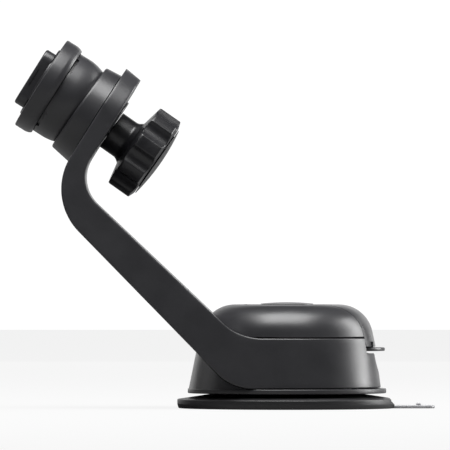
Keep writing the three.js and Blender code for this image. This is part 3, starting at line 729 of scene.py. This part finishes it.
@dataclass
class Skirt:
    """The flange under the foot, with the nose that fills in below the arm."""

    radius: float = 38.7
    z0: float = 5.85
    z1: float = 7.7
    slope: float = 0.203
    inner: float = 31.3
    start_x: float = -13.3
    bore: float = 14.2
    rib_in: float = 27.3
    rib_out: float = 29.2
    rib_top: float = 10.4
    nose_top: float = 24.0

    def build(self) -> None:
        """Turns the flange and the nose, and cuts the nose along the arm."""
        line = filleted([(self.bore, self.z0, 0.2), (self.radius, self.z0, 0.35),
                         (self.radius, self.z1, 0.35), (self.rib_out, self.z1, 0),
                         (self.rib_out, self.rib_top, 0.2), (self.rib_in, self.rib_top, 0.2),
                         (self.rib_in, self.z1, 0), (self.bore, self.z1, 0.2)], True, 5)
        plate = turned("skirt", line, 224)
        outer = self.radius - self.slope * (self.nose_top - self.z0)
        nose = turned("nose", np.array([[self.inner, self.z0 + 0.5], [self.radius - 0.12, self.z0 + 0.5],
                                        [outer, self.nose_top], [self.inner, self.nose_top]]), 224)
        combine(nose, [block((-60, self.start_x), (-60, 60), (0, 60))], Joining.KEEP)
        combine(nose, [Foot().cutter(GAP)], Joining.CUT)
        combine(plate, [nose], Joining.ADD)
        finish_piece(plate, "skirt", ABS, "base", ["base_skirt"])


# ---------------------------------------------------------------------------------------------
# Suction cup
# ---------------------------------------------------------------------------------------------
@dataclass
class Cup:
    """The suction cup and its gel layer with the pull tab."""

    radius: float = 42.8
    rim: float = 3.55
    pad_t: float = 1.2
    dome: float = 3.0
    rim_from: float = 30.0
    gel_from: float = 28.0
    slit: float = 0.05
    flat_share: float = 0.52
    pad_set: float = 4.8
    tab_half: float = 8.2
    scoop_half: float = 19.0
    scoop_points: int = 77
    scoop_far: float = 56.0
    scoop_top: float = 9.0

    def build(self) -> None:
        """Makes the cup with its notched rim, and the gel, each with its middle split off as a piece of its
        own.
        """
        pad_r = self.radius - self.pad_set
        under = self.pad_t + GAP
        line = filleted([(0, self.dome + under, 0), (12, self.dome + under, 6), (28, under, 12),
                         (pad_r + GAP, under, 0.3), (pad_r + GAP, 0, 0.3), (self.radius - 0.5, 0, 0.5),
                         (self.radius, 1.6, 3), (self.radius, self.rim, 0.45),
                         (self.radius - 12.8, 5.5, 20), (13.2, 5.5, 1.0), (13.2, 8.6, 0.4), (11.3, 8.6, 0.2),
                         (11.3, 5.9, 0.3), (0, 5.9, 0)], False, 8)
        cup = turned("cup", refined(line, 1.2), 256)
        scoop = self.scoop()
        channel = block((self.radius - 8, self.radius + 9), (-8.3, 8.3), (-1, under))
        combine(cup, [scoop, channel], Joining.CUT)
        middle = split_at(cup, self.rim_from, self.slit)
        self.give(middle, "cup_membrane", CUP_RUBBER, "suction_cup")
        finish_piece(cup, "cup_rim", CUP_RUBBER, "base", ["suction_cup"])
        gel_line = filleted([(0, self.dome, 0), (12, self.dome, 6), (28, 0, 12), (pad_r, 0, 0.2),
                             (pad_r, self.pad_t, 0.2), (28, self.pad_t, 12),
                             (12, self.dome + self.pad_t, 6), (0, self.dome + self.pad_t, 0)], False, 8)
        gel = turned("gel", refined(gel_line, 1.6), 192)
        end = self.radius + 14.8
        start = pad_r - 6
        tab = loft("tab", rounded_box((end - start) / 2, 8, 4, (end + start) / 2, 0),
                   edge_rows(0, 1.15, 0.35))
        rib = loft("rib", rounded_box(0.9, 6.5, 0.8, end - 6.3, 0), edge_rows(0.8, 2.0, 0.4))
        combine(gel, [tab, rib], Joining.ADD)
        self.give(split_at(gel, self.gel_from, self.slit), "gel_middle", GEL, "gel_pad")
        finish_piece(gel, "gel_ring", GEL, "base", ["gel_pad"])

    def give(self, piece: bpy.types.Object, name: str, finish: Finish, node: str) -> None:
        """Finishes a soft middle and gives it a mesh of its own.

        Args:
            piece: the solid.
            name: its name.
            finish: what it is made of.
            node: the CAD node that it stands for.
        """
        finish_piece(piece, name, finish, "base", [node])
        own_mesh(piece)

    def scoop(self) -> bpy.types.Object:
        """The hollow in the rim above the pull tab: its floor rises with the distance from the tab.

        Returns:
            The cutting solid: for each y, the floor lies at 1.2 + 2.8 (max(|y| - 8.2, 0) / 10).
        """
        y = np.linspace(-self.scoop_half, self.scoop_half, self.scoop_points)
        floor = self.pad_t + 2.8 * (np.maximum(np.abs(y) - self.tab_half, 0) / 10.0)
        back = self.radius - 3.5 + 0.006 * y ** 2
        far, top = np.full(len(y), self.scoop_far), np.full(len(y), self.scoop_top)
        corners = [(back, floor), (far, floor), (far, top), (back, top)]
        loops = np.stack([np.stack([x, y, z], 1) for x, z in corners], 1)
        return grid_object("cutter", loops, caps=True)


# ---------------------------------------------------------------------------------------------
# Dome and lever
# ---------------------------------------------------------------------------------------------
@dataclass
class Dome:
    """The domed cover and the lever that lies flush in it."""

    flat_r: float = 20.4
    corner_r: float = 13.2
    top: float = 40.4
    wall: float = 2.0
    lever_wall: float = 2.2
    lever_half: float = 15.6
    lever_corner: float = 8.0
    end_clear: float = 1.3
    skirt_z: float = 24.0
    pin_z: float = 30.9
    badge_r: float = 10.3
    badge_sphere: float = 90.0
    cover_z: float = 27.76
    edge: float = 0.3
    cam_r: float = 6.88
    drop: float = 3.0
    open_degrees: float = 75.0
    pin_hole: float = 1.6
    tab_x: float = 24.0
    tab_r: float = 14.2
    tab_z: tuple[float, float] = (22.3, 23.7)

    def meridian(self, inset: float, z_end: float, steps: int = 20) -> Array:
        """The dome's half section: a flat top, an arc, then a straight line down to z_end."""
        curve = arc(self.flat_r, self.top - self.corner_r, self.corner_r - inset, 90, 12.5, steps)
        r, z = curve[-1]
        line = np.concatenate([[[0, self.top - inset]], curve, [[r + 0.216 * (z - z_end), z_end]]])
        return refined(line, 2.0)

    def shell(self, wall: float, z_end: float, edge: float) -> bpy.types.Object:
        """The dome turned as a wall, with its lower edge rounded."""
        outer, inner = self.meridian(0, z_end + edge), self.meridian(wall, z_end + edge)[::-1]
        r0, r1 = outer[-1, 0], inner[0, 0]
        low = np.array([[r0 - edge * 0.3, z_end + edge * 0.3], [r0 - edge, z_end], [r1 + edge, z_end],
                        [r1 + edge * 0.3, z_end + edge * 0.3]])
        return turned("shell", np.concatenate([outer, low, inner]), 256)

    def sweep(self) -> float:
        """How far the lever's inner end reaches from its pin, with a gap."""
        return float(np.hypot(self.lever_half, self.top - self.pin_z)) + GAP

    def lever_plan(self, z0: float, z1: float, grow: float = 0, end_grow: float = 0) -> bpy.types.Object:
        """The lever's outline from above, with its pin end's corners rounded, as a solid.

        Args:
            z0: the solid's lower face.
            z1: its upper face.
            grow: how far the sides move out.
            end_grow: how far the pin end moves out.

        Returns:
            The solid, which the lever is cut from, or which the cover's slot is cut with.
        """
        half, end = self.lever_half + grow, -self.lever_half - end_grow
        corners = [(end, -half, self.lever_corner), (60, -half, 0),
                   (60, half, 0), (end, half, self.lever_corner)]
        line = filleted(corners, True, 16)
        return loft("plan", lambda inset: line, [(0, z0), (0, z1)])

    def cheek(self, y0: float, y1: float) -> bpy.types.Object:
        """A cam cheek: its radius to the plate falls evenly as the lever opens.

        The lower edge is the envelope h n + h' t of the plate's line, with h = cam_r - rate a.
        """
        rate = self.drop / np.radians(self.open_degrees)
        a = np.radians(np.linspace(0, 79, 24))
        psi = -np.pi / 2 - a
        h = self.cam_r - rate * a
        cam = np.stack([h * np.cos(psi) - rate * np.sin(psi), h * np.sin(psi) + rate * np.cos(psi)], 1)
        top = self.top - self.lever_wall + 0.8 - self.pin_z
        line = np.concatenate([[[8, top], [8, -2.5], [5.8, -6.0]], cam, [[-3.7, 0.8], [-3.9, top]]])
        layers = [np.column_stack([line[:, 0], np.full(len(line), y), line[:, 1] + self.pin_z])
                  for y in (y0, y1)]
        return grid_object("cheek", np.stack(layers), caps=True)

    def build(self) -> None:
        """Makes the cover, the lever and its badge."""
        cover = self.shell(self.wall, self.cover_z, self.edge)
        combine(cover, [self.lever_plan(20, 60, GAP, self.end_clear)], Joining.CUT)
        finish_piece(cover, "dome", ABS, "base", ["dome_cover"])

        lever = self.shell(self.lever_wall, self.skirt_z, self.edge)
        combine(lever, [self.lever_plan(20, 50)], Joining.KEEP)
        low, high = self.tab_z
        tab = turned("tab", filleted([(0, low, 0), (self.tab_r, low, 0.45), (self.tab_r, high, 0.45),
                                      (0, high, 0)], False, 6), 192, at(self.tab_x, 0, 0))
        combine(tab, [block((30.7, 60), (-20, 20), (20, 30))], Joining.KEEP)
        web = loft("web", rounded_box(1.45, 10.6, 0.4, 32.15, 0), [(0, 22.4), (0, 26)])
        under = self.top - self.lever_wall
        ribs = [loft("rib", rounded_box(7.4, 0.6, 0.3, 14.4, y), [(0, under - 5), (0, under + 0.5)])
                for y in (-6.5, 6.5)]
        cheeks = [self.cheek(5.0, 8.0), self.cheek(-8.0, -5.0)]
        combine(lever, [tab, web, *cheeks, *ribs], Joining.ADD)
        pin = np.eye(4)
        pin[:3, 1], pin[:3, 2], pin[:3, 3] = (0, 0, 1), (0, -1, 0), (0, 0, self.pin_z)
        seat = turned("cutter", filleted([(0, self.top - 0.8, 0), (self.badge_r + GAP, self.top - 0.8, 0),
                                          (self.badge_r + GAP, self.top - 0.2, 0),
                                          (self.badge_r + 0.6, self.top + 0.1, 0),
                                          (self.badge_r + 0.6, 60, 0), (0, 60, 0)], False), 160)
        combine(lever, [seat, rod(self.pin_hole, -20, 20, pin, 32)], Joining.CUT)
        finish_piece(lever, "lock_lever", ABS_FINE, "lever", ["lever"])

        # The badge's crown is nearly a cap of a ball: z = top + 0.9 - r^2 / (2 badge_sphere).
        r = np.linspace(0, self.badge_r - 0.5, 12)[::-1]
        crown = np.stack([r, self.top + 0.9 - r ** 2 / (2 * self.badge_sphere)], 1)
        rim = filleted([(0, self.top - 0.5, 0), (self.badge_r, self.top - 0.5, 0.1),
                        (self.badge_r, self.top + 0.33, 0.4), (crown[0, 0], crown[0, 1], 0)], False, 5)
        badge = turned("badge", np.concatenate([rim[:-1], crown]), 160)
        finish_piece(badge, "badge", ABS_FINE, "lever", ["lever_badge"])


# ---------------------------------------------------------------------------------------------
# Head
# ---------------------------------------------------------------------------------------------
@dataclass
class Head:
    """The socket ring, the ball shell, the lock sleeve with its spring, and the lug."""

    ball_r: float = 17.55
    wall: float = 1.35
    sleeve_r: float = 19.42
    lug_half: float = 12.1
    spring_r: float = 16.0
    wire: float = 0.6
    coils: int = 2
    spring_z: tuple[float, float] = (-9.3, -4.6)
    pressed: float = 0.6
    slot_depth: float = 0.8
    slot_z: tuple[float, float] = (-4.1, -3.1)
    slot_half: float = 14.5
    slit_half: float = 3.7
    slit_depth: float = 0.9
    slit_z: tuple[float, float] = (-14.8, -14.4)
    screw_circle: float = 11.4

    def socket(self) -> None:
        """The ring on the arm's plate, hollowed to seat the ball."""
        ring = turned("ring", refined(filleted([(9, 6.16, 0), (18.0, 6.16, 0.3), (18.5, 6.35, 0.5),
                                                (18.72, 6.95, 0.8), (19.6, 13.8, 4), (19.8, 16, 0),
                                                (9, 16, 0)], True, 6), 0.9), 192, CLAMP)
        combine(ring, [globe(self.ball_r + GAP, BALL, 192),
                       block((-60, 60), (-60, 60), (13.7, 60), HEAD)], Joining.CUT)
        finish_piece(ring, "socket_collar", ABS, "base", ["socket_ring"])

    def shell(self) -> None:
        """The ball shell: half a ball, a short neck, and four slots."""
        outer = arc(0, 0, self.ball_r, 53, 0, 28)
        inner = arc(0, 0, self.ball_r - self.wall, 0, 53, 28)
        rim = filleted([(self.ball_r, 0, 0), (self.ball_r - 0.05, -4.3, 0.3), (4.5, -4.3, 0.2),
                        (4.5, -2.5, 0.2), (self.ball_r - self.wall, -2.5, 0.3),
                        (self.ball_r - self.wall, 0, 0)], False, 5)
        shell = turned("shell", np.concatenate([outer[:-1], refined(rim, 1.5), inner[1:]]), 224, HEAD)
        combine(shell, [self.slot(d) for d in DIAGONALS], Joining.CUT)
        finish_piece(shell, "ball_shell", ABS, "head", ["head_shell"])

    def slot(self, degrees: float) -> bpy.types.Object:
        """A slot's cutting solid: a turned tube, kept inside a wedge about an angle."""
        floor, past = self.ball_r - self.slot_depth, self.ball_r + 2
        low, high = self.slot_z
        line = np.array([[floor, low], [past, low], [past, high], [floor, high]])
        tube = turned("slot", line, 224, HEAD)
        far = arc(0, 0, 40, degrees - self.slot_half, degrees + self.slot_half, 1)
        plan = np.concatenate([[[0, 0]], far])
        layers = [np.column_stack([plan, np.full(len(plan), z)]) for z in (-6.0, -1.0)]
        wedge = grid_object("cutter", np.stack(layers), HEAD, caps=True)
        return combine(tube, [wedge], Joining.KEEP)

    def sleeve(self) -> None:
        """The lock sleeve, with rounded edges and a hollow that slides over the shell."""
        r = self.sleeve_r
        inner = self.ball_r + GAP
        line = filleted([(14.8, -11.5, 0.25), (r, -11.5, 0.6), (r, -6.6, 2.5), (r - 0.3, -5.3, 1.5),
                         (r - 0.85, -4.3, 0.25), (inner, -4.3, 0.2), (inner, -9.6, 0.3),
                         (14.8, -9.6, 0.2)], True, 7)
        sleeve = turned("sleeve", line, 224, HEAD)
        finish_piece(sleeve, "lock_collar", ABS, "sleeve", ["lock_sleeve"])

    def lug(self) -> None:
        """The square lug, its neck, side slots, screw seats and centre hole."""
        h = self.lug_half
        outline = rounded_box(h, h, 4.2)
        a = np.radians(np.linspace(90, 0, 7))
        front = [(0.8 - 0.8 * np.cos(k), -16.2 + 0.8 - 0.8 * np.sin(k)) for k in a]
        back = [(0.0, -12.1), (0.3, -11.8)]
        lug = loft("lug", outline, [*front, *back], HEAD)
        neck = turned("neck", filleted([(0, -12.2, 0), (14.5, -12.2, 0.3), (14.5, -4.6, 0.3), (0, -4.6, 0)],
                                       False, 5), 160, HEAD)
        combine(lug, [neck], Joining.ADD)
        wide, deep = self.slit_half, self.slit_depth
        cutters = [block((-wide, wide), (s * h - deep, s * h + deep), self.slit_z, HEAD) for s in (-1, 1)]
        cutters.append(turned("cutter", filleted([(0, -20, 0), (7.8, -20, 0), (7.8, -16.2, 0),
                                                  (7.2, -15.6, 0), (7.2, 0, 0), (0, 0, 0)], False), 96, HEAD))
        for d in np.radians(DIAGONALS):
            f = at(self.screw_circle * np.cos(d), self.screw_circle * np.sin(d), 0, HEAD, flip=True)
            cutters.append(turned("cutter", np.array([[0, 1.7], [1.45, 1.7], [1.45, 14.3], [2.6, 14.3],
                                                      [2.6, 21], [0, 21]]), 32, f))
        combine(lug, cutters, Joining.CUT)
        finish_piece(lug, "cradle_lug", ABS_FINE, "head", ["lug_head"])

    def spring(self) -> None:
        """The sleeve's coil spring, with a mesh of its own.

        A point at angle a along the wire and b round it lies at radius R + w cos b and at height
        z + w sin b, where z rises evenly with a.
        """
        a = np.linspace(0, 2 * np.pi * self.coils, 48 * self.coils + 1)[:, None]
        b = np.linspace(0, 2 * np.pi, 12, endpoint=False)[None, :]
        w = self.wire
        low, high = self.spring_z
        r = self.spring_r + w * np.cos(b)
        z = low + w + (high - low - 2 * w) * a / a[-1] + w * np.sin(b)
        coil = grid_object("coil", np.stack([r * np.cos(a), r * np.sin(a), z], -1), HEAD, caps=True)
        finish_piece(coil, "collar_spring", STEEL, "head", ["sleeve_spring"])
        seat = at(0, 0, high, HEAD)[:3, 3] * MM
        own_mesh(coil)

    def build(self) -> None:
        """Builds the five pieces."""
        self.socket()
        self.shell()
        self.sleeve()
        self.spring()
        self.lug()


# ---------------------------------------------------------------------------------------------
# Knob
# ---------------------------------------------------------------------------------------------
@dataclass
class Knob:
    """The lobed clamp knob and its cap."""

    radius: float = 18.0
    valley: float = 16.0
    cut_r: float = 4.97
    lobes: int = 9
    face: float = 21.65
    lobes_from: float = 12.5
    crease: float = 0.7
    beyond: float = 24.0
    lobe_steps: int = 56

    def lobed(self, r: Array, a: Array) -> Array:
        """The radius cut by a ring of scallops.

        In the direction d from a scallop's centre line, its near wall lies at
        D cos d - sqrt(c^2 - D^2 sin^2 d), where c is its radius and D how far out its centre is.

        Args:
            r: the profile's radius.
            a: the angle round the axis.

        Returns:
            The lesser of the two, with a rounded crease; nearer the axis, the radius as it was.
        """
        pitch = 2 * np.pi / self.lobes
        d = (a % pitch) - pitch / 2
        far = self.valley + self.cut_r
        inside = self.cut_r ** 2 - (far * np.sin(d)) ** 2
        wall = np.where(inside > 0, far * np.cos(d) - np.sqrt(np.maximum(inside, 0)), self.beyond)
        reach = np.minimum(wall, self.beyond)
        cut = soft_min(r, np.broadcast_to(reach, r.shape), self.crease)
        return np.where(r > self.lobes_from, cut, r)

    def build(self) -> None:
        """Makes the grip and its cap."""
        f = self.face
        outer = filleted([(8.0, f, 0.3), (8.0, 28.9, 2.5), (9.3, 30.75, 1.0),
                          (self.radius - 0.2, 32.45, 0.35),
                          (self.radius, 33.2, 1.0), (self.radius, 42.0, 0.5), (15.0, 43.0, 0.2),
                          (12.2, 43.0, 0.2), (12.2, 38.0, 0.2), (6.6, 38.0, 0.2), (6.6, 24.0, 0.1),
                          (3.3, 24.0, 0.1), (3.3, 22.93, 0.0), (6.8, 22.93, 0.0), (6.8, f, 0.15)], True, 6)
        grip = turned("grip", refined(np.concatenate([outer, outer[:1]]), 0.9),
                      self.lobes * self.lobe_steps, CLAMP, self.lobed)
        finish_piece(grip, "grip", NYLON, "knob", ["knob_grip"], 40)
        r = np.linspace(0, 14.4, 16)[::-1]
        crown = np.stack([r, 44.85 - r ** 2 / 164], 1)
        rim = filleted([(0, 40.6, 0), (11.9, 40.6, 0.3), (11.9, 43.28, 0.1), (14.6, 43.28, 0.15),
                        (14.8, 43.5, 0.15), (crown[0, 0], crown[0, 1], 0)], False, 5)
        cap = turned("cap", np.concatenate([rim[:-1], crown]), 192, CLAMP)
        finish_piece(cap, "grip_cap", NYLON, "knob", ["knob_cap"])


# ---------------------------------------------------------------------------------------------
# CAD hardware
# ---------------------------------------------------------------------------------------------
class Hardware:
    """The machined and plated pieces, whose CAD shape is right as it is."""

    finishes = {
        "cam_plate": STEEL, "stem_spring": STEEL, "core_disc": NYLON, "cup_stem": STEEL, "lever_pin": STEEL,
        "pin_clip": STEEL, "clamp_stud": STEEL, "pressure_washer": STEEL, "friction_cup": ACETAL,
        "ball_insert": ACETAL, "knob_washer": STEEL, "knob_insert": BRASS,
    }

    def build(self) -> None:
        """Gives each CAD piece its finish."""
        for name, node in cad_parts.items():
            finish = OXIDE if "screw" in name else self.finishes.get(name)
            if finish is None:
                continue
            for slot in node.material_slots:
                slot.material = finish.material()
            log.info("%s: %s", name, finish.name)


# ---------------------------------------------------------------------------------------------
# Studio
# ---------------------------------------------------------------------------------------------
@dataclass
class Studio:
    """A floor, soft lights and a long-lens camera at the mount's side.

    The camera sees the surroundings as white and most of the floor's light as white; everything
    else sees dim surroundings and a grey floor.
    """

    distance: float = 4.0
    width: float = 0.1755
    centre: tuple[float, float, float] = (-0.02418, 0.0, 0.07137)
    floor_half: float = 3000.0
    white: tuple[float, float, float, float] = (1.0, 1.0, 1.0, 1.0)
    white_strength: float = 1.05
    dim_strength: float = 0.045
    plain_share: float = 0.84

    def camera(self) -> None:
        """A level camera that looks along +y."""
        data = bpy.data.cameras.new("camera")
        data.sensor_width = 36.0
        data.lens = 36.0 * self.distance / self.width
        data.clip_end = 100.0
        obj = bpy.data.objects.new("camera", data)
        obj.location = (self.centre[0], -self.distance, self.centre[2])
        obj.rotation_euler = (np.pi / 2, 0, 0)
        bpy.context.scene.collection.objects.link(obj)
        bpy.context.scene.camera = obj

    def light(self, name: str, place: tuple[float, float, float], size: tuple[float, float], power: float,
              target: tuple[float, float, float] = (-0.03, 0, 0.06)) -> None:
        """A rectangular soft light that faces a target.

        Args:
            name: the light's name.
            place: where it is, in metres.
            size: its width and height.
            power: its power in watts.
            target: what it faces.
        """
        data = bpy.data.lights.new(name, "AREA")
        data.shape = "RECTANGLE"
        data.size, data.size_y = size
        data.energy = power
        obj = bpy.data.objects.new(name, data)
        obj.location = place
        obj.rotation_euler = (Vector(target) - Vector(place)).to_track_quat("-Z", "Y").to_euler()
        bpy.context.scene.collection.objects.link(obj)

    def floor(self) -> None:
        """A wide floor whose paper takes a faint shadow."""
        h = self.floor_half
        verts = np.array([[-h, -h, 0], [h, -h, 0], [h, h, 0], [-h, h, 0]], float)
        floor = mesh_object("floor", verts, np.array([[0, 1, 2, 3]]))
        floor.data.vertices.foreach_set("co", (verts * MM).astype(np.float32).ravel())
        floor.data.update()
        mat = bpy.data.materials.new("floor_paper")
        mat.use_nodes = True
        tree = mat.node_tree
        tree.nodes.clear()
        direct = add_node(tree, "ShaderNodeLightPath").outputs["Is Camera Ray"]
        paper = add_node(tree, "ShaderNodeBsdfDiffuse", inputs={"Color": linear("#8c8c8c")})
        glow = add_node(tree, "ShaderNodeEmission", inputs={
            "Color": self.white, "Strength": self.white_strength})
        share = add_node(tree, "ShaderNodeMath", {"operation": "MULTIPLY"},
                         inputs={1: self.plain_share}, links={0: direct})
        either = add_node(tree, "ShaderNodeMixShader",
                          links={0: share.outputs[0], 1: paper.outputs[0], 2: glow.outputs[0]})
        add_node(tree, "ShaderNodeOutputMaterial", links={"Surface": either.outputs[0]})
        floor.data.materials.append(mat)

    def surroundings(self) -> None:
        """A world that is white to the camera and dim to everything else."""
        world = bpy.data.worlds.new("surroundings")
        world.use_nodes = True
        tree = world.node_tree
        tree.nodes.clear()
        direct = add_node(tree, "ShaderNodeLightPath").outputs["Is Camera Ray"]
        dim = add_node(tree, "ShaderNodeBackground", inputs={
            "Color": self.white, "Strength": self.dim_strength})
        bright = add_node(tree, "ShaderNodeBackground", inputs={
            "Color": self.white, "Strength": self.white_strength})
        mix = add_node(tree, "ShaderNodeMixShader",
                       links={0: direct, 1: dim.outputs[0], 2: bright.outputs[0]})
        add_node(tree, "ShaderNodeOutputWorld", links={"Surface": mix.outputs[0]})
        bpy.context.scene.world = world
        bpy.context.scene.view_settings.view_transform = "Standard"

    def build(self) -> None:
        """Sets the floor, the surroundings and the lights."""
        self.floor()
        self.surroundings()
        self.light("overhead", (-0.05, -0.25, 1.0), (0.9, 0.7), 20)
        self.light("right_strip", (0.75, 0.25, 0.25), (0.35, 0.8), 9)
        self.light("backdrop", (-0.02, 1.3, 0.30), (2.0, 0.7), 5)
        self.light("left_back", (-0.8, 0.35, 0.45), (0.5, 0.6), 0.8)


def main() -> None:
    """Builds the camera, then each sub-assembly in order."""
    studio = Studio()
    studio.camera()
    for assembly in (Cup(), Skirt(), Foot(), Dome(), Head(), Knob(), Hardware(), studio):
        assembly.build()
        log.info("%s done", type(assembly).__name__)


if __name__ == "__main__":
    main()
